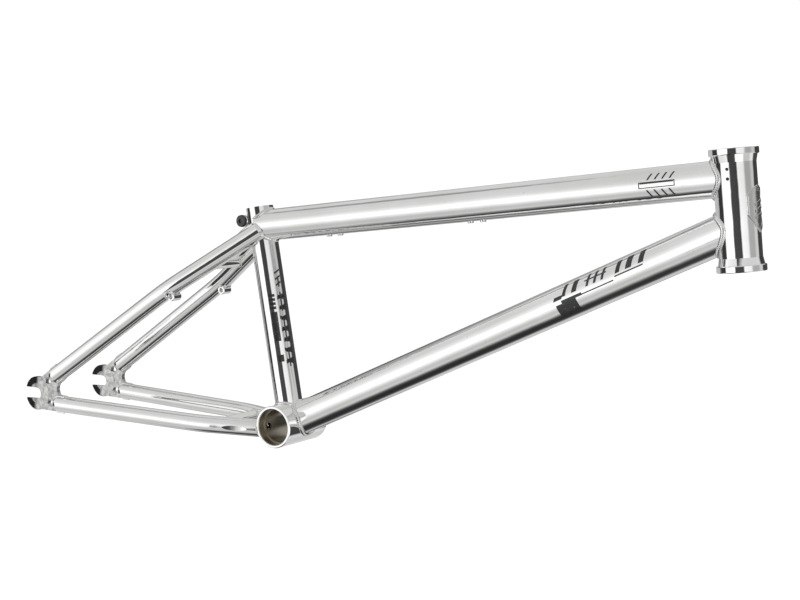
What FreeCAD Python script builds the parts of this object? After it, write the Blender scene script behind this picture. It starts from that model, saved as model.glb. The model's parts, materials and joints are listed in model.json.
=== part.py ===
import FreeCAD, Part

import math
import os
import re

import Sketcher
from FreeCAD import Placement, Rotation, Vector

# A BMX bicycle frame, in millimetres. +X points forward, +Y to the rider's left, +Z up.
# The origin is the middle of the bottom bracket shell, on the crank axis.

# ---------------------------------------------------------------- driving dimensions

DIMENSIONS = {
    # head tube, for an integrated headset
    "head_angle": 75.4,
    "front_reach": 501.0,
    "front_height": 283.0,
    "head_length": 118.0,
    "head_radius": 20.85,
    "collar_radius": 24.0,
    "collar_length": 6.5,
    "flare_length": 7.0,
    "flare_radius": 22.3,
    "headset_radius": 20.9,
    "headset_depth": 9.0,
    "head_bore_radius": 17.6,
    "tab_hole_radius": 1.65,
    "tab_hole_drop": 19.9,
    "tab_hole_spacing": 9.1,
    # main triangle
    "seat_angle": 70.9,
    "seat_length": 253.0,
    "seat_radius": 15.9,
    "post_radius": 12.75,
    "post_bore_length": 115.0,
    "seat_bore_radius": 14.4,
    "top_radius": 18.2,
    "top_wall": 1.1,
    "top_drop": 27.8,
    "top_rise": 231.0,
    "down_radius": 19.05,
    "down_wall": 1.1,
    "down_rise": 43.2,
    # bottom bracket shell, for pressed-in bearings
    "shell_width": 73.0,
    "shell_radius": 24.3,
    "bearing_radius": 20.6,
    "bearing_depth": 11.0,
    "shell_bore_radius": 19.3,
    "shell_bevel": 0.8,
    "vent_radius": 4.2,
    "vent_offset": 4.3,
    "vent_rise": 2.6,
    # rear end
    "axle_back": 350.5,
    "axle_drop": 44.5,
    "hub_width": 110.0,
    "plate_thickness": 6.0,
    "lobe_thickness": 5.4,
    "plate_radius": 21.0,
    "slot_radius": 7.0,
    "slot_tilt": 10.0,
    "prong_tip_thickness": 2.6,
    "window_radius": 4.2,
    "window_back": 14.9,
    "stay_wall": 1.2,
    "stay_bend_radius": 160.0,
    "seatstay_radius": 10.5,
    "seatstay_plug": 26.0,
    "seatstay_cap_radius": 12.2,
    "seatstay_slope": 42.1,
    "seatstay_foot_back": 322.05,
    "seatstay_foot_drop": 14.08,
    "seatstay_toe": 2.5,
    "seatstay_low_run": 193.5,
    "seatstay_turn": 13.2,
    "seatstay_high_run": 116.5,
    "chainstay_radius": 10.2,
    "chainstay_plug": 0.0,
    "chainstay_slope": 7.8,
    "chainstay_foot_back": 311.06,
    "chainstay_foot_drop": 48.89,
    "chainstay_toe": 3.3,
    "chainstay_low_run": 198.0,
    "chainstay_turn": 12.0,
    "chainstay_high_run": 77.0,
    "sprocket_dimple_radius": 300.0,
    "sprocket_dimple_depth": 0.4,
    "sprocket_dimple_back": 46.0,
    "seatstay_bridge_back": 125.0,
    "seatstay_bridge_radius": 6.4,
    "chainstay_bridge_back": 77.5,
    "chainstay_bridge_radius": 7.0,
    # seat clamp, part of the seat tube's top
    "clamp_offset": 20.6,
    "clamp_drop": 13.0,
    "clamp_radius": 7.2,
    "clamp_half_width": 10.0,
    "ear_web_width": 8.0,
    "clamp_slot": 2.4,
    "clamp_slot_length": 32.0,
    "bolt_radius": 3.0,
    "bolt_clearance": 0.3,
    "bolt_head_radius": 6.8,
    "bolt_head_height": 2.4,
    "bolt_length": 20.0,
    "hexagon_width": 5.0,
    "hexagon_depth": 1.7,
    "washer_radius": 7.1,
    "washer_thickness": 1.0,
    "nut_radius": 4.3,
    "nut_length": 7.6,
    "thread_clearance": 0.06,
    # small fittings
    "brake_boss_radius": 5.2,
    "brake_boss_length": 14.0,
    "brake_hole_radius": 2.5,
    "brake_boss_back": 157.0,
    "brake_boss_height": 120.5,
    "brake_boss_spread": 46.0,
    "guide_radius": 3.2,
    "guide_hole_radius": 2.1,
    "guide_length": 8.0,
    "guide_stand": 1.8,
    "guide_spacing": 15.4,
    "guide_rear_reach": 22.5,
    "guide_front_reach": 201.0,
    "badge_height": 45.0,
    "badge_half_width": 15.0,
    "badge_thickness": 0.9,
    "badge_centre": 59.0,
    "rivet_radius": 1.5,
    "rivet_stand": 0.8,
}

doc = FreeCAD.newDocument("BmxFrame")
sheet = doc.addObject("Spreadsheet::Sheet", "Sizes")
for row, (alias, value) in enumerate(DIMENSIONS.items(), start=1):
    sheet.set("A%d" % row, alias.replace("_", " "))
    sheet.set("B%d" % row, str(value))
    sheet.setAlias("B%d" % row, alias)
doc.recompute()


def size(alias):
    """Number that a cell of the sheet holds."""
    return float(getattr(sheet, alias))


def cells(formula):
    """Formula in which every dimension's name points at its cell."""
    return re.sub(r"[a-z_]+", lambda m: "Sizes." + m[0] if m[0] in DIMENSIONS else m[0], formula)


def amount(formula):
    """Value of a formula of dimensions."""
    return float(sheet.evalExpression(cells(formula).replace("Sizes.", "")))


# ---------------------------------------------------------------- places

HEAD_ANGLE = math.radians(size("head_angle"))
SEAT_ANGLE = math.radians(size("seat_angle"))
HEAD_AXIS = Vector(-math.cos(HEAD_ANGLE), 0, math.sin(HEAD_ANGLE))
SEAT_AXIS = Vector(-math.cos(SEAT_ANGLE), 0, math.sin(SEAT_ANGLE))
SEAT_FRONT = Vector(math.sin(SEAT_ANGLE), 0, math.cos(SEAT_ANGLE))
SIDEWAYS = Vector(0, 1, 0)
ORIGIN = Vector(0, 0, 0)
HEAD_FOOT = Vector(size("front_reach"), 0, size("front_height"))
HEAD_TOP = HEAD_FOOT + HEAD_AXIS * size("head_length")
TOP_FRONT = HEAD_TOP - HEAD_AXIS * size("top_drop")
TOP_REAR = SEAT_AXIS * size("top_rise")
TOP_AXIS = (TOP_FRONT - TOP_REAR).normalize()
DOWN_FRONT = HEAD_FOOT + HEAD_AXIS * size("down_rise")
PLATE_SPREAD = (size("hub_width") + size("plate_thickness")) / 2
AXLE = Vector(-size("axle_back"), 0, -size("axle_drop"))
SIDES = {"right": -1, "left": 1}


def towards(direction, across=SIDEWAYS):
    """Rotation that lays local Z along a direction, with local Y near to across."""
    side = direction.cross(across)
    return Rotation(across.cross(direction) if side.Length < 1e-6 else side * -1, across, direction, "ZYX")


def at(point, direction=Vector(0, 0, 1), across=SIDEWAYS):
    return Placement(point, towards(direction, across))


# ---------------------------------------------------------------- building helpers


def bind(thing, **formulas):
    for name, formula in formulas.items():
        thing.setExpression(name, cells(formula))
    return thing


def cylinder(name, placement, radius, height):
    rod = bind(doc.addObject("Part::Cylinder", name), Radius=radius, Height=height)
    rod.Placement = placement
    return rod


def rod_between(name, start, end, radius):
    """Solid round bar whose length is the distance between two points."""
    rod = bind(doc.addObject("Part::Cylinder", name), Radius=radius)
    rod.Height = start.distanceToPoint(end)
    rod.Placement = at(start, end - start)
    return rod


def block(name, placement, length, width, height):
    """Box centred across its placement's X and Y, standing along its Z."""
    box = bind(doc.addObject("Part::Box", name), Length=length, Width=width, Height=height)
    corner = Vector(-amount(length) / 2, -amount(width) / 2, 0)
    box.Placement = placement.multiply(Placement(corner, Rotation()))
    return box


def cut(name, base, *tools):
    """Base with each tool taken away in turn."""
    for index, tool in enumerate(tools):
        result = doc.addObject("Part::Cut", name if index == len(tools) - 1 else name + "_less_%d" % index)
        result.Base = base
        result.Tool = tool
        base = result
    return base


def fuse(name, *shapes):
    result = doc.addObject("Part::MultiFuse", name)
    result.Shapes = list(shapes)
    result.Refine = True
    return result


def common(name, base, tool):
    result = doc.addObject("Part::Common", name)
    result.Base = base
    result.Tool = tool
    return result


def sketch_on(body, name, role):
    plane = [feature for feature in body.Origin.OriginFeatures if feature.Role == role][0]
    sketch = body.newObject("Sketcher::SketchObject", name)
    sketch.AttachmentSupport = [(plane, "")]
    sketch.MapMode = "FlatFace"
    return sketch


def outline(sketch, corners):
    """Closed outline of straight edges; each corner is a pair of formulas."""
    points = [Vector(amount(across), amount(along), 0) for across, along in corners]
    count = len(points)
    for index, point in enumerate(points):
        sketch.addGeometry(Part.LineSegment(point, points[(index + 1) % count]))
    for index in range(count):
        sketch.addConstraint(Sketcher.Constraint("Coincident", index, 2, (index + 1) % count, 1))
    for index, corner in enumerate(corners):
        for kind, formula in zip(("DistanceX", "DistanceY"), corner):
            value = amount(formula)
            number = sketch.addConstraint(Sketcher.Constraint(kind, -1, 1, index, 1, value))
            sketch.setExpression("Constraints[%d]" % number, cells(formula))


def turned(name, placement, corners):
    """Body turned about its local Z from a half section of (radius, height) corners."""
    body = doc.addObject("PartDesign::Body", name)
    section = sketch_on(body, name + "_section", "XZ_Plane")
    outline(section, corners)
    revolution = body.newObject("PartDesign::Revolution", name + "_turned")
    revolution.Profile = section
    revolution.ReferenceAxis = (section, ["V_Axis"])
    revolution.Angle = 360.0
    body.Placement = placement
    return body


def circle_sketch(body, name, radius):
    sketch = sketch_on(body, name, "XY_Plane")
    sketch.addGeometry(Part.Circle(ORIGIN, Vector(0, 0, 1), amount(radius)))
    sketch.addConstraint(Sketcher.Constraint("Coincident", 0, 3, -1, 1))
    number = sketch.addConstraint(Sketcher.Constraint("Radius", 0, amount(radius)))
    sketch.setExpression("Constraints[%d]" % number, cells(radius))
    return sketch


# ---------------------------------------------------------------- head tube


def make_head_blank():
    """Tube with a collar and a flare at each end, bored for two headset bearings."""
    lower = [
        ("head_bore_radius", "headset_depth + 3.5"),
        ("headset_radius", "headset_depth"),
        ("headset_radius", "1"),
        ("headset_radius + 1", "0"),
        ("collar_radius - 0.6", "0"),
        ("collar_radius", "0.6"),
        ("collar_radius", "collar_length - 0.6"),
        ("collar_radius - 0.6", "collar_length"),
        ("flare_radius", "collar_length"),
        ("head_radius", "collar_length + flare_length"),
    ]
    upper = [(across, "head_length - (%s)" % along) for across, along in reversed(lower)]
    return turned("head_tube_blank", at(HEAD_FOOT, HEAD_AXIS), lower + upper)


def make_head_tube(blank):
    """Blank with two small threaded holes across it, near the top."""
    holes = []
    for index in range(2):
        drop = size("tab_hole_drop") + index * size("tab_hole_spacing")
        middle = HEAD_TOP - HEAD_AXIS * drop
        start = middle - SIDEWAYS * amount("head_radius * 2")
        holes.append(cylinder("tab_hole_%d" % index, at(start, SIDEWAYS, HEAD_AXIS),
                              "tab_hole_radius", "head_radius * 4"))
    return cut("head_tube", blank, *holes)


# ---------------------------------------------------------------- shell


def make_shell():
    """Stepped bore: a bearing pocket at each end and a shoulder between them."""
    right = [
        ("shell_bore_radius", "-shell_width / 2 + bearing_depth"),
        ("bearing_radius", "-shell_width / 2 + bearing_depth"),
        ("bearing_radius", "-shell_width / 2 + shell_bevel"),
        ("bearing_radius + shell_bevel", "-shell_width / 2"),
        ("shell_radius - shell_bevel", "-shell_width / 2"),
        ("shell_radius", "-shell_width / 2 + shell_bevel"),
    ]
    left = [(across, "-(%s)" % along) for across, along in reversed(right)]
    shell = turned("bb_shell_blank", at(ORIGIN, SIDEWAYS, SEAT_AXIS), right + left)
    vents = []
    for side, sign in SIDES.items():
        high, end = axis_of_stay("chainstay", sign)[2:]
        start = end + Vector(0, -sign * size("vent_offset"), size("vent_rise"))
        vents.append(cylinder("vent_" + side, at(start, high * -1), "vent_radius", "shell_radius * 2"))
    return cut("bb_shell", shell, *vents)


# ---------------------------------------------------------------- main triangle


def make_seat_tube(shell_tool):
    """Reamed for a seat post at the top, with a slot through its rear wall."""
    top = SEAT_AXIS * size("seat_length")
    outside = rod_between("seat_tube_outside", ORIGIN, top, "seat_radius")
    bore = rod_between("seat_tube_bore", ORIGIN, top, "seat_bore_radius")
    bore.Height = amount("seat_length - post_bore_length")
    post_bore = cylinder("post_bore", at(top + SEAT_AXIS, SEAT_AXIS * -1), "post_radius",
                         "post_bore_length + 2")
    slot_middle = top - SEAT_AXIS * size("clamp_slot_length") - SEAT_FRONT * size("seat_radius")
    slot = block("clamp_slot_tool", at(slot_middle, SEAT_AXIS), "seat_radius", "clamp_slot",
                 "clamp_slot_length + 5")
    relief = cylinder("clamp_slot_relief", at(slot_middle - SEAT_FRONT * 10, SEAT_FRONT),
                      "clamp_slot", "seat_radius + 4")
    return cut("seat_tube", outside, bore, post_bore, slot, relief, shell_tool)


def make_top_tube(head_tool, seat_tool, guide_holes):
    outside = rod_between("top_tube_outside", TOP_REAR, TOP_FRONT, "top_radius")
    inside = rod_between("top_tube_inside", TOP_REAR, TOP_FRONT, "top_radius - top_wall")
    return cut("top_tube", outside, inside, head_tool, seat_tool, *guide_holes)


def make_down_tube(head_tool, seat_tool, shell_tool):
    outside = rod_between("down_tube_outside", ORIGIN, DOWN_FRONT, "down_radius")
    inside = rod_between("down_tube_inside", ORIGIN, DOWN_FRONT, "down_radius - down_wall")
    return cut("down_tube", outside, inside, head_tool, seat_tool, shell_tool)


# ---------------------------------------------------------------- rear end


def axis_of_stay(kind, sign):
    """Foot, low direction, high direction and far end of a seat stay or a chain stay."""
    slope = math.radians(size(kind + "_slope"))
    rise = Vector(math.cos(slope), 0, math.sin(slope))
    foot = Vector(-size(kind + "_foot_back"), sign * PLATE_SPREAD, -size(kind + "_foot_drop"))
    toe = math.radians(size(kind + "_toe"))
    turn = toe + math.radians(size(kind + "_turn"))
    low = rise * math.cos(toe) - SIDEWAYS * (sign * math.sin(toe))
    high = rise * math.cos(turn) - SIDEWAYS * (sign * math.sin(turn))
    tangent = amount("stay_bend_radius * tan(%s_turn / 2 * 1 deg)" % kind)
    corner = foot + low * (size(kind + "_low_run") + tangent)
    return foot, low, high, corner + high * (tangent + size(kind + "_high_run"))


def bent_rod(name, kind, sign, radius, shorter):
    """Round bar that follows a stay: two straight runs and the bend between them."""
    foot, low = axis_of_stay(kind, sign)[:2]
    body = doc.addObject("PartDesign::Body", name)
    section = circle_sketch(body, name + "_section", radius)
    path = sketch_on(body, name + "_path", "XZ_Plane")
    turn = math.radians(size(kind + "_turn"))
    bend = size("stay_bend_radius")
    high_run = kind + "_high_run" + shorter
    first = Vector(0, size(kind + "_low_run"), 0)
    middle = first + Vector(bend * (1 - math.cos(turn / 2)), bend * math.sin(turn / 2), 0)
    last = first + Vector(bend * (1 - math.cos(turn)), bend * math.sin(turn), 0)
    end = last + Vector(math.sin(turn), math.cos(turn), 0) * amount(high_run)
    path.addGeometry(Part.LineSegment(ORIGIN, first))
    path.addGeometry(Part.Arc(first, middle, last))
    path.addGeometry(Part.LineSegment(last, end))
    path.addConstraint(Sketcher.Constraint("Coincident", 0, 1, -1, 1))
    path.addConstraint(Sketcher.Constraint("Vertical", 0))
    path.addConstraint(Sketcher.Constraint("Tangent", 0, 2, 1, 2))
    path.addConstraint(Sketcher.Constraint("Tangent", 1, 1, 2, 1))
    bounds = (
        (Sketcher.Constraint("Distance", 0, first.Length), kind + "_low_run"),
        (Sketcher.Constraint("Distance", 2, (end - last).Length), high_run),
        (Sketcher.Constraint("Radius", 1, bend), "stay_bend_radius"),
        (Sketcher.Constraint("Angle", 2, math.pi / 2 - turn), "(90 - %s_turn) * 1 deg" % kind),
    )
    for constraint, formula in bounds:
        number = path.addConstraint(constraint)
        path.setExpression("Constraints[%d]" % number, cells(formula))
    pipe = body.newObject("PartDesign::AdditivePipe", name + "_pipe")
    pipe.Profile = section
    pipe.Spine = path
    inward = SIDEWAYS * -sign
    across = low.cross(inward).normalize()
    body.Placement = Placement(foot, Rotation(across.cross(low) * -1, across, low, "ZYX"))
    return body


def ball(name, centre, radius):
    sphere = bind(doc.addObject("Part::Sphere", name), Radius=radius)
    sphere.Placement = Placement(centre, Rotation())
    return sphere


def stay_solids(kind, side):
    """Outside of a stay with its round closed foot, and the hollow inside it."""
    sign = SIDES[side]
    name = kind + "_%s_" + side
    outside = bent_rod(name % "outside", kind, sign, kind + "_radius", "")
    foot_ball = ball(name % "foot", axis_of_stay(kind, sign)[0], kind + "_radius")
    inside = bent_rod(name % "inside", kind, sign, kind + "_radius - stay_wall", " - %s_plug" % kind)
    return [outside, foot_ball], inside


def make_seatstay(side, tools):
    """Bent tube with a plugged, domed top."""
    high, top = axis_of_stay("seatstay", SIDES[side])[2:]
    solids, inside = stay_solids("seatstay", side)
    inset = amount("sqrt(seatstay_cap_radius ^ 2 - seatstay_radius ^ 2)")
    dome = ball("seatstay_dome_" + side, top - high * inset, "seatstay_cap_radius")
    plug = cylinder("seatstay_plug_" + side, at(top - high, high), "seatstay_radius", "seatstay_radius")
    cap = common("seatstay_cap_" + side, plug, dome)
    return cut("seatstay_" + side, fuse("seatstay_whole_" + side, *solids, cap), inside, *tools)


def make_chainstay(side, tools):
    """Bent tube; the right one is pressed in a little beside the sprocket."""
    solids, inside = stay_solids("chainstay", side)
    whole = fuse("chainstay_whole_" + side, *solids)
    if side == "right":
        high, end = axis_of_stay("chainstay", SIDES[side])[2:]
        outward = Vector(0, 0, 1).cross(high).normalize() * SIDES[side]
        reach = amount("sprocket_dimple_radius + chainstay_radius - sprocket_dimple_depth")
        centre = end - high * size("sprocket_dimple_back") + outward * reach - Vector(0, 0, 30)
        pressed = cylinder("sprocket_dimple", at(centre), "sprocket_dimple_radius", "60")
        thinner = cylinder("sprocket_dimple_inside", at(centre - outward * size("stay_wall")),
                           "sprocket_dimple_radius", "60")
        whole = cut("chainstay_pressed", whole, pressed)
        inside = cut("chainstay_cavity", inside, thinner)
    return cut("chainstay_" + side, whole, inside, *tools)


def stay_lobes(side):
    """Name, foot and direction in the plate's plane of both stays that a plate carries."""
    lobes = []
    for kind in ("seatstay", "chainstay"):
        slope = math.radians(size(kind + "_slope"))
        rise = Vector(math.cos(slope), 0, math.sin(slope))
        lobes.append((kind, axis_of_stay(kind, SIDES[side])[0], rise))
    return lobes


def make_plate(side):
    """Dropout: a thick round head with a rearward slot, and a thinner windowed lobe for each stay."""
    sign = SIDES[side]
    middle = AXLE + SIDEWAYS * (sign * PLATE_SPREAD)

    def disc(name, point, radius, thickness):
        near = SIDEWAYS * amount(thickness + " / -2")
        return cylinder(name + "_" + side, at(point + near, SIDEWAYS, Vector(0, 0, 1)), radius, thickness)

    def bar(name, start, direction, width, length, thickness):
        return block(name + "_" + side, at(start, direction), width, thickness, length)

    lobes = stay_lobes(side)
    web_up = (lobes[0][2] + lobes[1][2]).normalize()
    head = disc("plate_head", middle, "plate_radius", "plate_thickness")
    arms = [bar("plate_" + kind, foot - rise * 31, rise, kind + "_radius * 2 - 1", "39", "lobe_thickness")
            for kind, foot, rise in lobes]
    web = bar("plate_web", middle, web_up, "26", "42", "lobe_thickness")
    hollow = disc("plate_hollow", middle + Vector(44, 0, 15), "11", "lobe_thickness")
    blank = cut("plate_blank_" + side, fuse("plate_lobes_" + side, head, *arms, web), hollow)
    tilt = math.radians(size("slot_tilt"))
    slot_back = Vector(-math.cos(tilt), 0, -math.sin(tilt))
    slot = bar("plate_slot", middle, slot_back, "slot_radius * 2", "plate_radius * 2", "plate_thickness")
    slot_end = disc("plate_slot_end", middle, "slot_radius", "plate_thickness")
    windows = []
    for kind, foot, rise in lobes:
        centre = foot - rise * size("window_back")
        windows.append(disc("window_round_" + kind, centre, "window_radius", "lobe_thickness"))
        diamond = (SIDEWAYS.cross(rise) - rise).normalize()
        corner = centre + SIDEWAYS.cross(diamond) * amount("window_radius / 2")
        windows.append(bar("window_point_" + kind, corner, diamond, "window_radius", "window_radius",
                           "lobe_thickness"))
    bevels = []
    fall = amount("(plate_thickness - prong_tip_thickness) / 2")
    for face in (-1, 1):
        start = middle + SIDEWAYS * (face * size("plate_thickness") / 2) + Vector(1, 0, 0)
        back = Vector(-size("plate_radius"), -face * fall, 0).normalize()
        outward = Vector(0, 0, 1).cross(back) * -face
        bevels.append(block("bevel_%s_%s" % ("inner" if face == -sign else "outer", side),
                            at(start + outward * 5, back, outward), "80", "10", "40"))
    return cut("dropout_" + side, blank, slot, slot_end, *windows, *bevels)


def make_bridge(name, start, end, radius, tools):
    outside = rod_between(name + "_outside", start, end, radius)
    inside = rod_between(name + "_inside", start, end, radius + " - stay_wall")
    return cut(name, outside, inside, *tools)


# ---------------------------------------------------------------- seat clamp

CLAMP_AXIS = SEAT_AXIS * (size("seat_length") - size("clamp_drop")) - SEAT_FRONT * size("clamp_offset")


def make_clamp_ear(side, seat_tool, bore_tools):
    """Round ear with a web that reaches the seat tube."""
    sign = SIDES[side]
    start = CLAMP_AXIS + SIDEWAYS * (sign * size("clamp_slot") / 2)
    barrel = cylinder("ear_barrel_" + side, at(start, SIDEWAYS * sign, SEAT_AXIS), "clamp_radius",
                      "clamp_half_width - clamp_slot / 2")
    web = block("ear_web_" + side,
                at(start + SIDEWAYS * (sign * amount("ear_web_width / 2")), SEAT_FRONT, SIDEWAYS),
                "clamp_radius * 2", "ear_web_width", "clamp_offset - seat_radius + 6")
    return cut("clamp_ear_" + side, fuse("ear_whole_" + side, barrel, web), seat_tool, *bore_tools)


def make_clamp_bolt():
    """Low-headed screw, built from the head's outer face inwards, with a hexagon socket."""
    head_face = CLAMP_AXIS - SIDEWAYS * amount("clamp_half_width + washer_thickness + bolt_head_height")
    bolt = turned("seat_clamp_bolt", at(head_face, SIDEWAYS, SEAT_AXIS), [
        ("0", "0"),
        ("bolt_head_radius - 0.9", "0"),
        ("bolt_head_radius", "0.9"),
        ("bolt_head_radius", "bolt_head_height"),
        ("bolt_radius", "bolt_head_height"),
        ("bolt_radius", "bolt_head_height + bolt_length - 0.8"),
        ("bolt_radius - 0.8", "bolt_head_height + bolt_length"),
        ("0", "bolt_head_height + bolt_length"),
    ])
    socket = sketch_on(bolt, "hexagon", "XY_Plane")
    corner = "hexagon_width / sqrt(3)"
    half = "hexagon_width / (2 * sqrt(3))"
    side = "hexagon_width / 2"
    outline(socket, [(corner, "0"), (half, side), ("-" + half, side),
                     ("-" + corner, "0"), ("-" + half, "-" + side), (half, "-" + side)])
    pocket = bolt.newObject("PartDesign::Pocket", "hexagon_pocket")
    pocket.Profile = socket
    pocket.Reversed = True
    bind(pocket, Length="hexagon_depth")
    return bolt


def make_washer():
    start = CLAMP_AXIS - SIDEWAYS * amount("clamp_half_width + washer_thickness")
    return turned("seat_clamp_washer", at(start, SIDEWAYS, SEAT_AXIS), [
        ("bolt_radius + bolt_clearance", "0"),
        ("washer_radius - 0.3", "0"),
        ("washer_radius", "0.3"),
        ("washer_radius", "washer_thickness"),
        ("bolt_radius + bolt_clearance", "washer_thickness"),
    ])


def make_nut():
    """Threaded barrel set in the left ear."""
    start = CLAMP_AXIS + SIDEWAYS * amount("clamp_half_width - nut_length")
    return turned("seat_clamp_nut", at(start, SIDEWAYS, SEAT_AXIS), [
        ("bolt_radius + thread_clearance", "0"),
        ("nut_radius", "0"),
        ("nut_radius", "nut_length - 0.5"),
        ("nut_radius - 0.5", "nut_length"),
        ("bolt_radius + thread_clearance", "nut_length"),
    ])


# ---------------------------------------------------------------- small fittings


def brake_boss_place(side, length):
    """Right-hand end of a cross-wise length centred on a brake boss."""
    middle = Vector(-size("brake_boss_back"), SIDES[side] * size("brake_boss_spread"),
                    size("brake_boss_height"))
    return at(middle - SIDEWAYS * amount("(%s) / 2" % length), SIDEWAYS, Vector(0, 0, 1))


def make_brake_boss(side):
    """Threaded sleeve set into a seat stay's underside, across the frame."""
    return turned("brake_boss_" + side, brake_boss_place(side, "brake_boss_length"), [
        ("brake_hole_radius", "0.5"),
        ("brake_hole_radius + 0.5", "0"),
        ("brake_boss_radius - 0.6", "0"),
        ("brake_boss_radius", "0.6"),
        ("brake_boss_radius", "brake_boss_length - 0.6"),
        ("brake_boss_radius - 0.6", "brake_boss_length"),
        ("brake_hole_radius + 0.5", "brake_boss_length"),
        ("brake_hole_radius", "brake_boss_length - 0.5"),
    ])


def guide_places(reach):
    """Mouths of a pair of threaded bosses under the top tube, spaced along it."""
    down = TOP_AXIS.cross(SIDEWAYS).normalize()
    if down.z > 0:
        down = down * -1
    foot = TOP_REAR + TOP_AXIS * ((reach - TOP_REAR.x) / TOP_AXIS.x)
    out = down * amount("top_radius + guide_stand")
    return [(foot + TOP_AXIS * (offset * size("guide_spacing")) + out, down) for offset in (-0.5, 0.5)]


def make_guide_pair(name, reach):
    bosses = []
    for index, (mouth, down) in enumerate(guide_places(reach)):
        start = mouth - down * size("guide_length")
        bosses.append(turned("%s_%d" % (name, index), at(start, down), [
            ("guide_hole_radius", "0"),
            ("guide_radius", "0"),
            ("guide_radius", "guide_length - 0.4"),
            ("guide_radius - 0.4", "guide_length"),
            ("guide_hole_radius", "guide_length"),
        ]))
    return fuse(name, *bosses)


def guide_tools():
    """Room that the bosses take in the top tube's wall."""
    tools = []
    for name, reach in (("rear", "guide_rear_reach"), ("front", "guide_front_reach")):
        for index, (mouth, down) in enumerate(guide_places(size(reach))):
            tools.append(cylinder("guide_room_%s_%d" % (name, index), at(mouth + down, down * -1),
                                  "guide_radius", "guide_length + 1"))
    return tools


BADGE_MIDDLE = HEAD_FOOT + HEAD_AXIS * size("badge_centre")
HEAD_FRONT = SIDEWAYS.cross(HEAD_AXIS)


def badge_rivets(radius):
    """Two short pins through the badge, one near each end."""
    pins = []
    for index, sign in enumerate((-1, 1)):
        height = sign * amount("badge_height / 2 - 4.5")
        start = BADGE_MIDDLE + HEAD_AXIS * height + HEAD_FRONT * amount("head_radius")
        pins.append(cylinder("rivet_%s_%d" % (radius.split("_")[0], index), at(start, HEAD_FRONT),
                             radius, "badge_thickness + rivet_stand"))
    return pins


def make_badge():
    """Thin shield that follows the head tube's front."""
    body = doc.addObject("PartDesign::Body", "badge_shield")
    face = sketch_on(body, "badge_outline", "XY_Plane")
    outline(face, [
        ("badge_height * 0.5", "0"),
        ("badge_height * 0.44", "badge_half_width * 0.62"),
        ("badge_height * 0.28", "badge_half_width"),
        ("badge_height * -0.12", "badge_half_width"),
        ("badge_height * -0.36", "badge_half_width * 0.5"),
        ("badge_height * -0.5", "0"),
        ("badge_height * -0.36", "badge_half_width * -0.5"),
        ("badge_height * -0.12", "-badge_half_width"),
        ("badge_height * 0.28", "-badge_half_width"),
        ("badge_height * 0.44", "badge_half_width * -0.62"),
    ])
    pad = body.newObject("PartDesign::Pad", "badge_pad")
    pad.Profile = face
    bind(pad, Length="head_radius * 2")
    body.Placement = Placement(BADGE_MIDDLE, Rotation(HEAD_AXIS, SIDEWAYS * -1, HEAD_FRONT, "ZYX"))
    skin = cylinder("badge_skin", at(HEAD_FOOT, HEAD_AXIS), "head_radius + badge_thickness", "head_length")
    core = cylinder("badge_core", at(HEAD_FOOT, HEAD_AXIS), "head_radius", "head_length")
    shell = cut("badge_shell", skin, core)
    return cut("head_badge", common("badge_sheet", body, shell), *badge_rivets("rivet_radius"))


# ---------------------------------------------------------------- assembly


def long_rod(name, point, direction, radius):
    """Solid bar that runs well past both ends, for mitring what meets a tube."""
    unit = Vector(direction).normalize()
    start = point - unit * 400
    return rod_between(name, start, start + unit * 900, radius)


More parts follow.
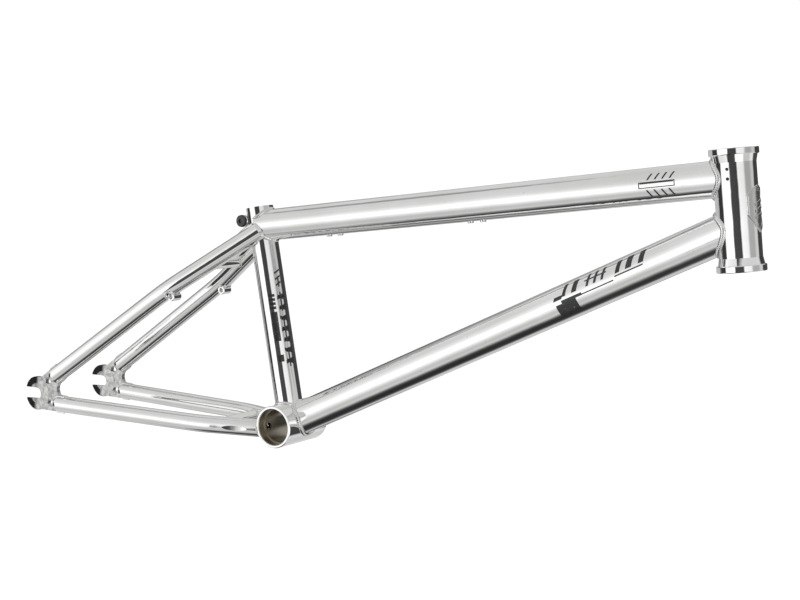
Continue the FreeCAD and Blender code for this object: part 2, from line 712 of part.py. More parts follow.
def make_all():
    parts = {}
    head_blank = make_head_blank()
    head_tool = fuse("head_tool", long_rod("head_run", HEAD_FOOT, HEAD_AXIS, "head_radius"), head_blank)
    seat_tool = long_rod("seat_tool", ORIGIN, SEAT_AXIS, "seat_radius")
    shell_tool = long_rod("shell_tool", ORIGIN, SIDEWAYS, "shell_radius")
    top_tool = rod_between("top_tool", TOP_REAR, TOP_FRONT, "top_radius")
    parts["head_tube"] = make_head_tube(head_blank)
    parts["bb_shell"] = make_shell()
    parts["seat_tube"] = make_seat_tube(shell_tool)
    parts["top_tube"] = make_top_tube(head_tool, seat_tool, guide_tools())
    parts["down_tube"] = make_down_tube(head_tool, seat_tool, shell_tool)
    tools = {"seatstay": [], "chainstay": []}
    for side, sign in SIDES.items():
        plate = make_plate(side)
        room_length = "brake_boss_length + 12"
        sleeve_room = cylinder("sleeve_room_" + side, brake_boss_place(side, room_length),
                               "brake_boss_radius", room_length)
        parts["dropout_" + side] = plate
        parts["seatstay_" + side] = make_seatstay(side, [plate, seat_tool, top_tool, sleeve_room])
        parts["chainstay_" + side] = make_chainstay(side, [plate, shell_tool])
        parts["brake_boss_" + side] = make_brake_boss(side)
        for kind, rods in tools.items():
            rods.append(bent_rod("%s_tool_%s" % (kind, side), kind, sign, kind + "_radius", ""))
    for kind, rods in tools.items():
        name = kind + "_bridge"
        high, end = axis_of_stay(kind, 1)[2:]
        left = end - high * ((end.x + size(name + "_back")) / high.x)
        right = Vector(left.x, -left.y, left.z)
        parts[name] = make_bridge(name, right, left, name + "_radius", rods)
    clamp_start = CLAMP_AXIS - SIDEWAYS * 30
    clearance = cylinder("bolt_room", at(clamp_start, SIDEWAYS, SEAT_AXIS),
                         "bolt_radius + bolt_clearance", "60")
    nut_start = CLAMP_AXIS + SIDEWAYS * amount("clamp_half_width - nut_length")
    nut_room = cylinder("nut_room", at(nut_start, SIDEWAYS, SEAT_AXIS), "nut_radius", "nut_length + 1")
    parts["clamp_ear_right"] = make_clamp_ear("right", seat_tool, [clearance])
    parts["clamp_ear_left"] = make_clamp_ear("left", seat_tool, [clearance, nut_room])
    parts["seat_clamp_bolt"] = make_clamp_bolt()
    parts["seat_clamp_washer"] = make_washer()
    parts["seat_clamp_nut"] = make_nut()
    parts["guide_bosses_rear"] = make_guide_pair("guide_bosses_rear", size("guide_rear_reach"))
    parts["guide_bosses_front"] = make_guide_pair("guide_bosses_front", size("guide_front_reach"))
    parts["head_badge"] = make_badge()
    parts["badge_rivets"] = fuse("badge_rivets", *badge_rivets("rivet_radius"))
    return parts


def write_all(parts):
    doc.recompute()
    faults = [thing.Name for thing in doc.Objects
              if "Invalid" in thing.State or "Error" in thing.State]
    if faults:
        raise RuntimeError("these objects failed: " + ", ".join(faults))
    os.makedirs("parts", exist_ok=True)
    for node, thing in parts.items():
        thing.Label = node
        shape = thing.Shape
        if shape.isNull() or not shape.isValid() or not shape.Solids:
            raise RuntimeError(node + " has no valid solid")
        shape.exportStep("parts/%s.step" % node)
        print("%-20s %d solid(s) %10.1f mm3" % (node, len(shape.Solids), shape.Volume))


write_all(make_all())
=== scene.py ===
import json
import math

import bmesh
import bpy
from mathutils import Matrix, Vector


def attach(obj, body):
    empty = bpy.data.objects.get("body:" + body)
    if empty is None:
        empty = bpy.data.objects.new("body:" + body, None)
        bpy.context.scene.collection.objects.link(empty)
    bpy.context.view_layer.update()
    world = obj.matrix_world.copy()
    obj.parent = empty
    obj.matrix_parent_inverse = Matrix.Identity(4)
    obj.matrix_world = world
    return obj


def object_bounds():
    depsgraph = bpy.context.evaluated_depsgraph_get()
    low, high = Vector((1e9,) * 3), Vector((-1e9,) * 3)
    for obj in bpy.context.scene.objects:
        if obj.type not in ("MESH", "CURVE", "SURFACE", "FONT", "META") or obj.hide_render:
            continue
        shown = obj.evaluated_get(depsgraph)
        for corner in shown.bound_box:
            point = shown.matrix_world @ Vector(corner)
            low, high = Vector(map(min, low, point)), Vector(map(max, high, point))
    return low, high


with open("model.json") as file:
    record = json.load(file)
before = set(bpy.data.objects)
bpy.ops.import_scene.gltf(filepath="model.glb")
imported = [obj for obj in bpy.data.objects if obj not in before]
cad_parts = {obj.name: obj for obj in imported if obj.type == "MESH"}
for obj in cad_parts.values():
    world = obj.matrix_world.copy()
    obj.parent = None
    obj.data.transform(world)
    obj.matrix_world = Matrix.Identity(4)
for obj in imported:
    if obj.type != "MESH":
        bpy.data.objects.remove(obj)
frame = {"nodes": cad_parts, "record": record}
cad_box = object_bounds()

# A chromed BMX frame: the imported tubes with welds, printed bands and a studio to reflect.
# Lengths are in metres. +X points forward, +Y to the rider's left, +Z up.

# ---------------------------------------------------------------- where things are

MOUNTS = {mount["name"]: mount for mount in frame["record"]["mounts"]}
NODES = frame["nodes"]


def place_of(name):
    return Vector(MOUNTS[name]["pos_m"])


def axis_of(name):
    return Vector(MOUNTS[name]["axis"]).normalized()


ORIGIN = Vector((0, 0, 0))
SIDEWAYS = Vector((0, 1, 0))
SIDES = {"right": -1, "left": 1}
HEADSET_HALF_DEPTH = 0.005
HEAD_AXIS = axis_of("headset_top")
HEAD_TOP = place_of("headset_top") + HEAD_AXIS * HEADSET_HALF_DEPTH
HEAD_FOOT = place_of("headset_bottom") - HEAD_AXIS * HEADSET_HALF_DEPTH
HEAD_FRONT = SIDEWAYS.cross(HEAD_AXIS)
SEAT_AXIS = axis_of("seat_post")
TOP_FRONT = HEAD_TOP - HEAD_AXIS * 0.0278
TOP_REAR = SEAT_AXIS * 0.2310
DOWN_FRONT = HEAD_FOOT + HEAD_AXIS * 0.0432
HEAD_RADIUS = 0.02085
SEAT_RADIUS = 0.0159
TOP_RADIUS = 0.0182
DOWN_RADIUS = 0.01905
SEAT_LENGTH = 0.253
SHELL_RADIUS = 0.0243
SHELL_BORE_RADIUS = 0.0212
SHELL_END = SIDEWAYS * 0.0365
STAY_BEND_RADIUS = 0.160
STAYS = {
    "seatstay": {"radius": 0.0105, "foot_back": 0.32205, "foot_drop": 0.01408, "slope": 42.1,
                 "toe": 2.5, "turn": 13.2, "low_run": 0.1935, "high_run": 0.1165},
    "chainstay": {"radius": 0.0102, "foot_back": 0.31106, "foot_drop": 0.04889, "slope": 7.8,
                  "toe": 3.3, "turn": 12.0, "low_run": 0.1980, "high_run": 0.0770},
}
BRIDGES = {"seatstay": (0.1250, 0.0064), "chainstay": (0.0775, 0.0070)}
BRAKE_BOSS_RADIUS = 0.0052
BRAKE_BOSS_HALF = 0.007
PLATE_SPREAD = 0.058
LOBE_HALF = 0.0027
BADGE_LIFT = 0.0009
BEAD_SIDES = 12
RINGS_PER_SCALLOP = 4
AXLE = place_of("axle_slots")


class Tube:
    """Round bar from a start point along a unit axis."""

    def __init__(self, start, end, radius):
        self.start = Vector(start)
        self.axis = (Vector(end) - self.start).normalized()
        self.length = (Vector(end) - self.start).length
        self.radius = radius

    def offset(self, point):
        """What leads square across from the axis to a point."""
        away = point - self.start
        return away - self.axis * away.dot(self.axis)


HEAD = Tube(HEAD_FOOT, HEAD_TOP, HEAD_RADIUS)
SEAT = Tube(ORIGIN, SEAT_AXIS * SEAT_LENGTH, SEAT_RADIUS)
TOP = Tube(TOP_REAR, TOP_FRONT, TOP_RADIUS)
DOWN = Tube(ORIGIN, DOWN_FRONT, DOWN_RADIUS)
SHELL = Tube(-SHELL_END, SHELL_END, SHELL_RADIUS)


def stay_tubes(kind, sign):
    """The low and the high straight run of a seat stay or a chain stay."""
    stay = STAYS[kind]
    slope = math.radians(stay["slope"])
    rise = Vector((math.cos(slope), 0, math.sin(slope)))
    inward = Vector((0, -sign, 0))
    toe = math.radians(stay["toe"])
    turn = math.radians(stay["turn"])
    low = rise * math.cos(toe) + inward * math.sin(toe)
    high = rise * math.cos(toe + turn) + inward * math.sin(toe + turn)
    chord = rise * math.cos(toe + turn / 2) + inward * math.sin(toe + turn / 2)
    foot = Vector((-stay["foot_back"], sign * PLATE_SPREAD, -stay["foot_drop"]))
    bend_start = foot + low * stay["low_run"]
    bend_end = bend_start + chord * (2 * STAY_BEND_RADIUS * math.sin(turn / 2))
    return (Tube(foot, bend_start, stay["radius"]),
            Tube(bend_end, bend_end + high * stay["high_run"], stay["radius"]))


# ---------------------------------------------------------------- node helpers


class Shader:
    """Small helper that adds and links nodes in one material or world."""

    def __init__(self, owner):
        owner.use_nodes = True
        self.tree = owner.node_tree
        self.tree.nodes.clear()

    def add(self, kind, inputs=None, **settings):
        node = self.tree.nodes.new("ShaderNode" + kind)
        for name, value in settings.items():
            setattr(node, name, value)
        for name, value in (inputs or {}).items():
            self.feed(node.inputs[name], value)
        return node

    def feed(self, socket, value):
        if isinstance(value, bpy.types.NodeSocket):
            self.tree.links.new(value, socket)
        else:
            socket.default_value = value

    def math(self, operation, *values, clamp=False):
        node = self.add("Math", operation=operation, use_clamp=clamp)
        for index, value in enumerate(values):
            self.feed(node.inputs[index], value)
        return node.outputs[0]

    def vector_math(self, operation, *values, output=0):
        node = self.add("VectorMath", operation=operation)
        for index, value in enumerate(values):
            self.feed(node.inputs[index], value)
        return node.outputs[output]

    def ramp(self, factor, stops, interpolation="LINEAR"):
        node = self.add("ValToRGB", {"Fac": factor})
        elements = node.color_ramp.elements
        node.color_ramp.interpolation = interpolation
        while len(elements) < len(stops):
            elements.new(0.5)
        for element, (position, color) in zip(elements, stops):
            element.position = position
            element.color = (*color, 1.0) if isinstance(color, tuple) else (color, color, color, 1.0)
        return node.outputs["Color"]

    def span(self, value, low, high, to_low, to_high, smooth=False):
        node = self.add("MapRange", interpolation_type="SMOOTHSTEP" if smooth else "LINEAR")
        for name, number in (("Value", value), ("From Min", low), ("From Max", high),
                             ("To Min", to_low), ("To Max", to_high)):
            self.feed(node.inputs[name], number)
        return node.outputs["Result"]

    def noise(self, vector, scale, detail=2.0, roughness=0.5):
        node = self.add("TexNoise", {"Vector": vector, "Scale": scale, "Detail": detail,
                                     "Roughness": roughness})
        return node.outputs["Fac"]

    def mix(self, factor, first, second):
        node = self.add("Mix", data_type="RGBA")
        for index, value in ((0, factor), (6, first), (7, second)):
            if isinstance(value, tuple):
                value = (*value, 1.0)
            self.feed(node.inputs[index], value)
        return node.outputs[2]

    def bump(self, height, strength, distance, normal=None):
        node = self.add("Bump", {"Height": height, "Strength": strength, "Distance": distance})
        if normal is not None:
            self.feed(node.inputs["Normal"], normal)
        return node.outputs["Normal"]

    def surface(self, **inputs):
        shader = self.add("BsdfPrincipled")
        for name, value in inputs.items():
            if isinstance(value, tuple):
                value = (*value, 1.0)
            self.feed(shader.inputs[name.replace("_", " ")], value)
        output = self.add("OutputMaterial")
        self.tree.links.new(shader.outputs[0], output.inputs["Surface"])


def object_point(shader):
    return shader.add("TexCoord").outputs["Object"]


# ---------------------------------------------------------------- metals


def chrome(name, bright, dull, rough, wave, inside=None):
    """Chrome plate: faint clouding, polishing lines and ripples in what it mirrors.

    inside is (centre, axis, radius): nearer to that axis the plate is thin, warm and dull.
    """
    material = bpy.data.materials.new(name)
    shader = Shader(material)
    point = object_point(shader)
    cloud = shader.noise(point, 14.0, 3.0)
    fine = shader.noise(point, 900.0, 2.0, 0.6)
    lines = shader.noise(shader.vector_math("MULTIPLY", point, (60.0, 900.0, 900.0)), 1.0, 2.0)
    color = shader.mix(shader.span(cloud, 0.35, 0.65, 0.0, 1.0, True), bright, dull)
    pits = shader.span(shader.noise(point, 420.0, 1.0), 0.74, 0.80, 0.0, 1.0, True)
    color = shader.mix(shader.math("MULTIPLY", pits, 0.35), color, (0.34, 0.32, 0.29))
    gloss = shader.span(cloud, 0.3, 0.7, rough * 0.7, rough * 1.3)
    gloss = shader.math("ADD", gloss, shader.math("MULTIPLY", lines, rough * 0.5))
    if inside:
        centre, axis, radius = inside
        away = shader.vector_math("SUBTRACT", point, tuple(centre))
        along = shader.vector_math("DOT_PRODUCT", away, tuple(axis), output=1)
        height = shader.add("VectorMath", {0: tuple(axis), 3: along}, operation="SCALE").outputs[0]
        distance = shader.vector_math("LENGTH", shader.vector_math("SUBTRACT", away, height), output=1)
        within = shader.span(distance, radius, radius + 0.0004, 1.0, 0.0, True)
        warm = shader.mix(fine, (0.50, 0.465, 0.395), (0.36, 0.33, 0.27))
        color = shader.mix(within, color, warm)
        gloss = shader.math("ADD", gloss, shader.math("MULTIPLY", within, 0.22))
    ripples = shader.bump(shader.noise(point, 26.0, 2.0), wave, 0.004)
    grain = shader.bump(fine, 0.03, 0.0003, ripples)
    shader.surface(Base_Color=color, Metallic=1.0, Roughness=gloss, Normal=grain)
    return material


def plate_satin():
    """Cut plate under thin chrome: satin faces, mottled, with a painted dark reflection of bevelled
    prong edges, black behind the axle near the rim.
    """
    material = bpy.data.materials.new("plate_satin")
    shader = Shader(material)
    point = object_point(shader)
    spots = shader.noise(point, 210.0, 3.0, 0.6)
    mottle = shader.span(spots, 0.32, 0.68, 0.0, 1.0, True)
    color = shader.mix(mottle, (0.62, 0.62, 0.61), (0.40, 0.40, 0.39))
    from_axle = shader.vector_math("SUBTRACT", point, tuple(AXLE))
    away = shader.vector_math("MULTIPLY", from_axle, (1.0, 0.0, 1.0))
    radius = shader.vector_math("LENGTH", away, output=1)
    forward = shader.add("SeparateXYZ", {"Vector": away}).outputs["X"]
    rim = shader.span(radius, 0.0118, 0.0132, 0.0, 1.0, True)
    rear = shader.span(forward, -0.0035, 0.001, 1.0, 0.0, True)
    # Painted reflection: near-black where the bevelled prong edges would mirror dark surroundings,
    # behind the axle and beyond the rim radius.
    color = shader.mix(shader.math("MULTIPLY", rim, rear), color, (0.022, 0.022, 0.023))
    gloss = shader.span(spots, 0.3, 0.7, 0.20, 0.36)
    dents = shader.bump(shader.noise(point, 95.0, 2.0), 0.30, 0.0012)
    grain = shader.bump(shader.noise(point, 1100.0), 0.06, 0.0003, dents)
    shader.surface(Base_Color=color, Metallic=1.0, Roughness=gloss, Normal=grain)
    return material


def black_oxide():
    """Blackened steel, rubbed to bare metal in small patches."""
    material = bpy.data.materials.new("black_oxide")
    shader = Shader(material)
    point = object_point(shader)
    rub = shader.span(shader.noise(point, 520.0, 4.0), 0.58, 0.72, 0.0, 1.0, True)
    color = shader.mix(rub, (0.075, 0.075, 0.078), (0.19, 0.19, 0.19))
    gloss = shader.span(shader.noise(point, 900.0), 0.3, 0.7, 0.28, 0.46)
    grain = shader.bump(shader.noise(point, 1600.0), 0.12, 0.0003)
    shader.surface(Base_Color=color, Metallic=0.9, Roughness=gloss, Normal=grain)
    return material


def brushed(name, light, dark, stretch):
    """Metal brushed one way, with the lines drawn out along an axis."""
    material = bpy.data.materials.new(name)
    shader = Shader(material)
    point = object_point(shader)
    lines = shader.noise(shader.vector_math("MULTIPLY", point, stretch), 1.0, 3.0, 0.6)
    color = shader.mix(lines, light, dark)
    gloss = shader.span(lines, 0.3, 0.7, 0.16, 0.34)
    grain = shader.bump(lines, 0.15, 0.0002)
    shader.surface(Base_Color=color, Metallic=1.0, Roughness=gloss, Normal=grain)
    return material


def print_film():
    """Dark printed film: slightly uneven ink, fine orange peel and a few worn specks."""
    material = bpy.data.materials.new("print_film")
    shader = Shader(material)
    point = object_point(shader)
    worn = shader.span(shader.noise(point, 700.0, 3.0), 0.66, 0.72, 0.0, 1.0, True)
    ink = shader.mix(shader.noise(point, 60.0, 3.0), (0.012, 0.013, 0.013), (0.035, 0.036, 0.036))
    color = shader.mix(worn, ink, (0.22, 0.22, 0.22))
    gloss = shader.span(shader.noise(point, 240.0), 0.3, 0.7, 0.22, 0.36)
    grain = shader.bump(shader.noise(point, 1200.0), 0.08, 0.0002)
    shader.surface(Base_Color=color, Metallic=0.15, Roughness=gloss, Normal=grain)
    return material


TUBE_BRIGHT = (0.93, 0.93, 0.925)
TUBE_DULL = (0.87, 0.87, 0.86)
TUBE_CHROME = chrome("tube_chrome", TUBE_BRIGHT, TUBE_DULL, 0.045, 0.10)
HEAD_CHROME = chrome("head_chrome", TUBE_BRIGHT, TUBE_DULL, 0.04, 0.14,
                     (HEAD_FOOT, HEAD_AXIS, HEAD_RADIUS - 0.0025))
SHELL_CHROME = chrome("shell_chrome", TUBE_BRIGHT, TUBE_DULL, 0.05, 0.10,
                      (ORIGIN, SIDEWAYS, SHELL_BORE_RADIUS))
SEAT_CHROME = chrome("seat_chrome", TUBE_BRIGHT, TUBE_DULL, 0.045, 0.10,
                     (ORIGIN, SEAT_AXIS, SEAT_RADIUS - 0.0016))
PLATE_SATIN = plate_satin()
FITTING_CHROME = chrome("fitting_chrome", (0.90, 0.90, 0.895), (0.82, 0.82, 0.81), 0.07, 0.15)
WELD_CHROME = chrome("weld_chrome", (0.90, 0.90, 0.89), (0.76, 0.75, 0.73), 0.09, 0.3)
BLACK_OXIDE = black_oxide()
NUT_STEEL = brushed("nut_steel", (0.62, 0.62, 0.62), (0.42, 0.42, 0.43), (300.0, 2400.0, 300.0))
BADGE_METAL = brushed("badge_metal", (0.84, 0.84, 0.83), (0.60, 0.60, 0.59), (300.0, 1400.0, 260.0))
PRINT_FILM = print_film()

NODE_MATERIALS = {
    "head_tube": HEAD_CHROME,
    "bb_shell": SHELL_CHROME,
    "seat_tube": SEAT_CHROME,
    "dropout_right": PLATE_SATIN,
    "dropout_left": PLATE_SATIN,
    "brake_boss_right": FITTING_CHROME,
    "brake_boss_left": FITTING_CHROME,
    "clamp_ear_right": FITTING_CHROME,
    "clamp_ear_left": FITTING_CHROME,
    "guide_bosses_rear": FITTING_CHROME,
    "guide_bosses_front": FITTING_CHROME,
    "seat_clamp_bolt": BLACK_OXIDE,
    "seat_clamp_washer": BLACK_OXIDE,
    "seat_clamp_nut": NUT_STEEL,
    "head_badge": BADGE_METAL,
    "badge_rivets": NUT_STEEL,
}

for node_name, node in NODES.items():
    material = NODE_MATERIALS.get(node_name, TUBE_CHROME)
    for material_slot in node.material_slots:
        material_slot.material = material


# ---------------------------------------------------------------- pieces


def add_piece(name, mesh, material, smooth=True):
    """New piece that rides on the welded frame."""
    for polygon in mesh.polygons:
        polygon.use_smooth = smooth
    mesh.materials.append(material)
    piece = bpy.data.objects.new(name, mesh)
    bpy.context.scene.collection.objects.link(piece)
    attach(piece, "frame")
    return piece


def across_pair(axis, towards):
    """Two unit vectors square to an axis, the first as near as can be to towards."""
    first = (towards - axis * towards.dot(axis)).normalized()
    return first, axis.cross(first)


def reach_of(tube, host, angle, first, second):
    """Where a line on a tube's skin first meets the host's skin, or None."""
    out = first * math.cos(angle) + second * math.sin(angle)
    begin = tube.start + out * tube.radius
    gap = host.offset(begin)
    run = tube.axis - host.axis * tube.axis.dot(host.axis)
    square = run.dot(run)
    half = gap.dot(run)
    inside = half * half - square * (gap.dot(gap) - host.radius ** 2)
    if inside < 0:
        return None
    point = begin + tube.axis * ((-half - math.sqrt(inside)) / square)
    return point, out, host.offset(point).normalized()


def seam(tube, host, keep=None, count=720):
    """Runs of (point, tube normal, host normal) where a tube's end meets its host."""
    first, second = across_pair(tube.axis, Vector((0.31, 0.17, 0.93)))
    found = [reach_of(tube, host, math.tau * index / count, first, second) for index in range(count)]
    kept = [spot is not None and (keep is None or keep(spot[0])) for spot in found]
    if all(kept):
        return [found + found[:1]]
    start = next(index for index in range(count) if kept[index] and not kept[index - 1])
    runs = [[]]
    for index in range(start, start + count):
        if kept[index % count]:
            runs[-1].append(found[index % count])
        elif runs[-1]:
            runs.append([])
    return [run for run in runs if len(run) > 12]


def weld(name, runs, radius, pitch=0.0021):
    """Bead with overlapping scallops laid along each run."""
    builder = bmesh.new()
    for run in runs:
        closed = (run[0][0] - run[-1][0]).length < 1e-6
        path = even_path(run, pitch / RINGS_PER_SCALLOP, closed)
        rings = []
        for index, (point, outward, along) in enumerate(path):
            phase = (index % RINGS_PER_SCALLOP) / RINGS_PER_SCALLOP
            swell = 1.0 + 0.10 * math.sin(math.pi * phase) - 0.05 * phase
            if not closed:
                end = min(index, len(path) - 1 - index) / 8
                swell *= math.sin(math.pi / 2 * min(1.0, end + 0.15))
            across = along.cross(outward)
            ring = []
            for step in range(BEAD_SIDES):
                turn = math.tau * step / BEAD_SIDES
                lag = -0.45 * radius * max(0.0, math.cos(turn))
                spoke = outward * (math.cos(turn) * 0.92) + across * math.sin(turn)
                place = point + spoke * radius * swell
                ring.append(builder.verts.new(place + along * lag))
            rings.append(ring)
        pairs = list(zip(rings, rings[1:]))
        if closed:
            pairs.append((rings[-1], rings[0]))
        for ring, following in pairs:
            for step in range(BEAD_SIDES):
                after = (step + 1) % BEAD_SIDES
                builder.faces.new((ring[step], ring[after], following[after], following[step]))
        if not closed:
            builder.faces.new(list(reversed(rings[0])))
            builder.faces.new(rings[-1])
    bmesh.ops.recalc_face_normals(builder, faces=builder.faces)
    mesh = bpy.data.meshes.new(name)
    builder.to_mesh(mesh)
    builder.free()
    piece = add_piece(name, mesh, WELD_CHROME)


def even_path(run, step, closed):
    """Evenly spaced (point, outward, along) of a seam, outward leading out of its corner."""
    points = [spot[0] for spot in run]
    outwards = [(spot[1] + spot[2]).normalized() for spot in run]
    lengths = [0.0]
    for before, after in zip(points, points[1:]):
        lengths.append(lengths[-1] + (after - before).length)
    scallops = max(1, round(lengths[-1] / step / RINGS_PER_SCALLOP))
    count = RINGS_PER_SCALLOP * scallops
    spots = []
    index = 0
    for number in range(count + (0 if closed else 1)):
        goal = lengths[-1] * number / count
        while index < len(lengths) - 2 and lengths[index + 1] < goal:
            index += 1
        share = (goal - lengths[index]) / max(1e-9, lengths[index + 1] - lengths[index])
        point = points[index].lerp(points[index + 1], share)
        outward = outwards[index].lerp(outwards[index + 1], share).normalized()
        along = (points[index + 1] - points[index]).normalized()
        outward = (outward - along * outward.dot(along)).normalized()
        spots.append((point, outward, along))
    return spots


def turned_round(tube):
    """The same tube, walked from its other end."""
    end = tube.start + tube.axis * tube.length
    return Tube(end, tube.start, tube.radius)


def weld_main_triangle():
    def clear_of_shell(point):
        return SHELL.offset(point).length > SHELL_RADIUS + 0.001

    weld("weld_head_top", seam(TOP, HEAD), 0.0027)
    weld("weld_head_down", seam(DOWN, HEAD), 0.0029)
    weld("weld_seat_top", seam(turned_round(TOP), SEAT), 0.0023)
    weld("weld_seat_down", seam(turned_round(SEAT), DOWN, clear_of_shell), 0.0023)
    weld("weld_shell_seat", seam(turned_round(SEAT), SHELL), 0.0024)
    weld("weld_shell_down", seam(turned_round(DOWN), SHELL), 0.0027)


def weld_rear_end():
    for side, sign in SIDES.items():
        low, high = stay_tubes("seatstay", sign)
        chain_low, chain_high = stay_tubes("chainstay", sign)

        def on_stay(point):
            return 0 < (point - high.start).dot(high.axis) < high.length

        def on_seat_tube(point):
            return on_stay(point) and TOP.offset(point).length > TOP_RADIUS

        def on_top_tube(point):
            return on_stay(point) and SEAT.offset(point).length > SEAT_RADIUS

        def on_shell(point):
            return abs(point.y) < SHELL.length / 2 - 0.0003

        weld("weld_seat_stay_" + side, seam(high, SEAT, on_seat_tube), 0.0019)
        weld("weld_top_stay_" + side, seam(high, TOP, on_top_tube), 0.0019)
        weld("weld_shell_stay_" + side, seam(chain_high, SHELL, on_shell), 0.0022)
        weld_dropout(side, "upper", low)
        weld_dropout(side, "lower", chain_low)
        weld_bridge(side, "seatstay", high)
        weld_bridge(side, "chainstay", chain_high)
        weld_brake_boss(side, high)


def weld_bridge(side, kind, host):
    """Bead round the end of the cross tube that joins a pair of stays."""
    back, radius = BRIDGES[kind]
    spot = host.start + host.axis * ((-back - host.start.x) / host.axis.x)
    bridge = Tube(Vector((spot.x, 0, spot.z)), spot, radius)
    weld("weld_%s_bridge_%s" % (kind, side), seam(bridge, host), 0.0014)


def weld_brake_boss(side, host):
    """Beads where the two ends of a brake sleeve come out of its stay."""
    middle = place_of("brake_pivot_" + side)
    runs = []
    for face in (-1, 1):
        end = middle + SIDEWAYS * (face * BRAKE_BOSS_HALF)
        runs += seam(Tube(end, middle, BRAKE_BOSS_RADIUS), host)
    weld("weld_brake_boss_" + side, runs, 0.0012)


def weld_dropout(side, name, stay):
    """Beads round a stay's foot on both faces of the dropout plate."""
    up = Vector((stay.axis.x, 0, stay.axis.z)).normalized()
    across = SIDEWAYS.cross(up)
    reach = math.sqrt(stay.radius ** 2 - LOBE_HALF ** 2)
    runs = []
    for normal in (SIDEWAYS, -SIDEWAYS):
        centre = stay.start + normal * LOBE_HALF
        for flank in (across, -across):
            run = []
            for step in range(11):
                run.append((centre + flank * reach + up * (0.0010 * (10 - step)), flank, normal))
            for step in range(1, 21):
                turn = math.radians(4.5 * step)
                outward = flank * math.cos(turn) - up * math.sin(turn)
                run.append((centre + outward * reach, outward, normal))
            runs.append(run)
    weld("weld_dropout_%s_%s" % (name, side), runs, 0.0011)


weld_main_triangle()
weld_rear_end()


# ---------------------------------------------------------------- printed bands


def wrapped(name, tube, facing, shapes, lift=0.00013, thickness=0.00006):
    """Flat outlines laid on a tube. Each corner is (distance along, distance round from facing)."""
    first, second = across_pair(tube.axis, facing)
    builder = bmesh.new()
    for shape in shapes:
        builder.faces.new([builder.verts.new((along, around, 0)) for along, around in shape])
    arounds = [vertex.co.y for vertex in builder.verts]
    cut = min(arounds)
    while cut < max(arounds):
        geometry = builder.verts[:] + builder.edges[:] + builder.faces[:]
        bmesh.ops.bisect_plane(builder, geom=geometry, plane_co=(0, cut, 0), plane_no=(0, 1, 0))
        cut += 0.0011
    for vertex in builder.verts:
        turn = vertex.co.y / tube.radius
        out = first * math.cos(turn) + second * math.sin(turn)
        vertex.co = tube.start + tube.axis * vertex.co.x + out * (tube.radius + lift)
    bmesh.ops.recalc_face_normals(builder, faces=builder.faces)
    mesh = bpy.data.meshes.new(name)
    builder.to_mesh(mesh)
    builder.free()
    raised = thickness > 0.0002
    piece = add_piece(name, mesh, BADGE_METAL if raised else PRINT_FILM, False)
    film = piece.modifiers.new("film", "SOLIDIFY")
    film.thickness = thickness
    film.offset = 0.0


def bar(start, end, low, high):
    return [(start, low), (end, low), (end, high), (start, high)]


def frame_of(start, end, low, high, line):
    """Four bars round a rectangle."""
    return [bar(start, end, low, low + line), bar(start, end, high - line, high),
            bar(start, start + line, low + line, high - line),
            bar(end - line, end, low + line, high - line)]


def slanted(start, width, low, high, lean):
    """Bar across a tube that leans by lean for each unit of its height."""
    return [(start + low * lean, low), (start + width + low * lean, low),
            (start + width + high * lean, high), (start + high * lean, high)]


def down_tube_print():
    """Row of leaning bars over a long thin line, with a solid block at the rear."""
    shapes = [bar(0.3845, 0.4085, 0.0015, 0.0165), bar(0.392, 0.4165, -0.0015, 0.0015)]
    shapes.append(bar(0.4165, 0.4545, 0.0000, 0.0013))
    shapes.append(slanted(0.3815, 0.0100, -0.0068, -0.0030, -0.55))
    for start, width in ((0.392, 0.0040), (0.4035, 0.0060), (0.4210, 0.0030), (0.4300, 0.0030),
                         (0.4390, 0.0030), (0.4560, 0.0050), (0.4680, 0.0070), (0.4830, 0.0060)):
        shapes.append(slanted(start, width, -0.0175, -0.0048, -0.45))
    shapes.append(slanted(0.4180, 0.0260, -0.0118, -0.0105, -0.45))
    shapes.append(slanted(0.4560, 0.0330, -0.0030, -0.0016, -0.45))
    wrapped("print_down_tube", DOWN, Vector((0, -1, 0)), shapes)


def top_tube_print():
    """Framed bar with leaning ticks above and below it."""
    shapes = frame_of(0.4820, 0.5200, -0.0040, 0.0022, 0.0009)
    shapes.append(bar(0.4835, 0.5185, -0.0031, -0.0021))
    for index in range(4):
        start = 0.4870 + 0.0078 * index
        shapes.append(slanted(start, 0.0018, -0.0125, -0.0058, -0.6))
        shapes.append(slanted(start, 0.0018, 0.0040, 0.0112, 0.6))
    wrapped("print_top_tube", TOP, Vector((0, -1, 0)), shapes)


def seat_tube_print():
    """Two columns of bars and blocks, the denser one towards the front."""
    shapes = [bar(0.096, 0.130, -0.0042, 0.0028), bar(0.072, 0.080, -0.0036, 0.0030)]
    for index in range(4):
        start = 0.1330 + 0.0048 * index
        shapes.append(bar(start, start + 0.0032, -0.0046, 0.0026))
    for index in range(14):
        start = 0.0670 + 0.0062 * index
        low = 0.0052 + 0.0009 * (index % 3)
        odd = index % 2
        shapes.append(slanted(start, 0.0040, low, 0.0150 - 0.0007 * odd, 0.35 - 0.7 * odd))
    for start, length in ((0.0655, 0.022), (0.0940, 0.028), (0.1300, 0.022), (0.1580, 0.010)):
        shapes.append(bar(start, start + length, 0.0088, 0.0106))
    for index in range(3):
        start = 0.1560 + 0.0070 * index
        shapes.append(slanted(start, 0.0022, 0.0060, 0.0128, 0.5))
    wrapped("print_seat_tube", SEAT, Vector((0.6, -0.8, 0)), shapes)


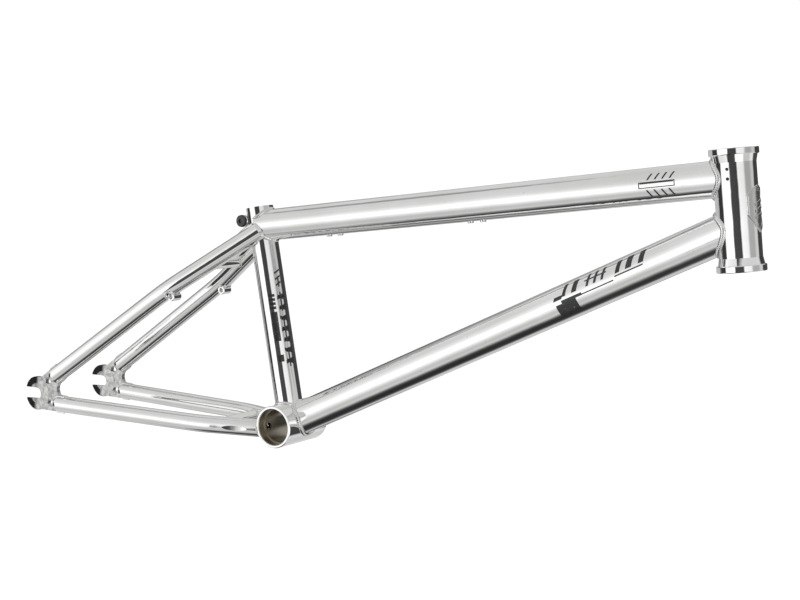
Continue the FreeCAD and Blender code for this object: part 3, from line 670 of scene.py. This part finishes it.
def badge_relief():
    """Raised rim and three leaning bars on the head badge."""
    skin = HEAD_RADIUS + BADGE_LIFT
    centre = 0.059
    half = [(0.5, 0.0), (0.44, 0.62), (0.28, 1.0), (-0.12, 1.0), (-0.36, 0.5), (-0.5, 0.0)]
    corners = half + [(along, -across) for along, across in reversed(half[1:-1])]

    def ring(share):
        return [(centre + 0.045 * along * share, skin * math.asin(0.015 * across * share / skin))
                for along, across in corners]

    outer = ring(0.95)
    inner = ring(0.80)
    shapes = []
    for index in range(len(corners)):
        after = (index + 1) % len(corners)
        shapes.append([outer[index], outer[after], inner[after], inner[index]])
    for index in range(3):
        shapes.append(slanted(centre - 0.0075 + 0.0062 * index, 0.0028, -0.0075, 0.0075, 0.3))
    wrapped("badge_relief", HEAD, HEAD_FRONT, shapes, BADGE_LIFT + 0.00022, 0.0005)


down_tube_print()
top_tube_print()
seat_tube_print()
badge_relief()


# ---------------------------------------------------------------- studio


def floor():
    """Pale floor, well below the frame that hangs over it."""
    size = 12.0
    level = cad_box[0][2] - 0.55
    mesh = bpy.data.meshes.new("studio_floor")
    corners = [(-size, -size, level), (size, -size, level),
               (size, size, level), (-size, size, level)]
    mesh.from_pydata(corners, [], [(0, 1, 2, 3)])
    ground = bpy.data.objects.new("studio_floor", mesh)
    bpy.context.scene.collection.objects.link(ground)
    material = bpy.data.materials.new("floor_paper")
    shader = Shader(material)
    tone = shader.noise(object_point(shader), 3.0)
    color = shader.mix(tone, (0.92, 0.92, 0.92), (0.95, 0.95, 0.95))
    shader.surface(Base_Color=color, Roughness=0.9)
    mesh.materials.append(material)
    ground.visible_glossy = False


def studio():
    """White room with soft dark cards, which the chrome mirrors; everything else sees plain white."""
    world = bpy.data.worlds.new("studio")
    bpy.context.scene.world = world
    shader = Shader(world)
    direction = shader.add("TexCoord").outputs["Generated"]
    parts = shader.add("SeparateXYZ", {"Vector": direction})
    height = parts.outputs["Z"]
    stops = [
        (-90, 0.02), (-74, 0.04), (-68, 0.12), (-62, 0.32), (-56, 0.50), (-45, 0.43), (-36, 0.49),
        (-30, 0.61), (-24, 0.76), (-18, 0.95), (-12, 1.0), (0, 1.0), (6, 0.82), (12, 0.72),
        (20, 0.62), (30, 0.53), (45, 0.51), (90, 0.46),
    ]
    ramp = [((math.sin(math.radians(angle)) + 1) / 2, level) for angle, level in stops]
    light = shader.ramp(shader.span(height, -1.0, 1.0, 0.0, 1.0), ramp)
    around = shader.math("ARCTAN2", parts.outputs["Y"], parts.outputs["X"])
    panels = [
        (-180, 0.80), (-100, 1.0), (-96, 0.05), (-61, 0.05), (-56, 1.0), (-26, 1.0), (-16, 0.46),
        (12, 0.46), (22, 0.66), (36, 0.66), (43, 0.05), (102, 0.05), (114, 0.42), (180, 0.42),
    ]
    turns = [((angle + 180) / 360, level) for angle, level in panels]
    walls = shader.ramp(shader.span(around, -math.pi, math.pi, 0.0, 1.0), turns)
    wall_foot, wall_low, wall_high, wall_top = [math.sin(math.radians(angle))
                                                for angle in (-32, -24, 20, 28)]
    above = shader.span(height, wall_high, wall_top, 1.0, 0.0, True)
    below = shader.span(height, wall_foot, wall_low, 0.0, 1.0, True)
    shade = shader.mix(shader.math("MULTIPLY", above, below), (1.0, 1.0, 1.0), walls)
    light = shader.vector_math("MULTIPLY", light, shade)
    cards = [(-163, -16, 17, 0.03), (146, 6, 9, 0.05), (180, 42, 6, 0.25), (124, -46, 12, 0.16),
             (124, 18, 9, 0.46)]
    blur = 3
    for azimuth, elevation, radius, level in cards:
        flat = math.cos(math.radians(elevation))
        middle = (flat * math.cos(math.radians(azimuth)), flat * math.sin(math.radians(azimuth)),
                  math.sin(math.radians(elevation)))
        nearness = shader.vector_math("DOT_PRODUCT", direction, middle, output=1)
        edge = math.cos(math.radians(radius + blur))
        core = math.cos(math.radians(radius - blur))
        light = shader.mix(shader.span(nearness, edge, core, 0.0, 1.0, True), light, (level,) * 3)
    glossy = shader.add("LightPath").outputs["Is Glossy Ray"]
    room = shader.add("Background", {"Color": light, "Strength": 1.3})
    plain = shader.add("Background", {"Color": (1.0, 1.0, 1.0, 1.0), "Strength": 1.15})
    both = shader.add("MixShader", {0: glossy, 1: plain.outputs[0], 2: room.outputs[0]})
    output = shader.add("OutputWorld")
    shader.tree.links.new(both.outputs[0], output.inputs["Surface"])
    bpy.context.scene.view_settings.view_transform = "Standard"


def camera():
    """Right side of the frame from a little in front and above, with the frame's nose tipped down."""
    data = bpy.data.cameras.new("camera")
    data.sensor_width = 36.0
    data.lens = 68.33
    data.clip_end = 50.0
    eye = bpy.data.objects.new("camera", data)
    eye.location = (0.9862, -1.3916, 0.4891)
    eye.rotation_euler = [math.radians(angle) for angle in (78.978, -7.493, 33.234)]
    bpy.context.scene.collection.objects.link(eye)
    bpy.context.scene.camera = eye


floor()
studio()
camera()
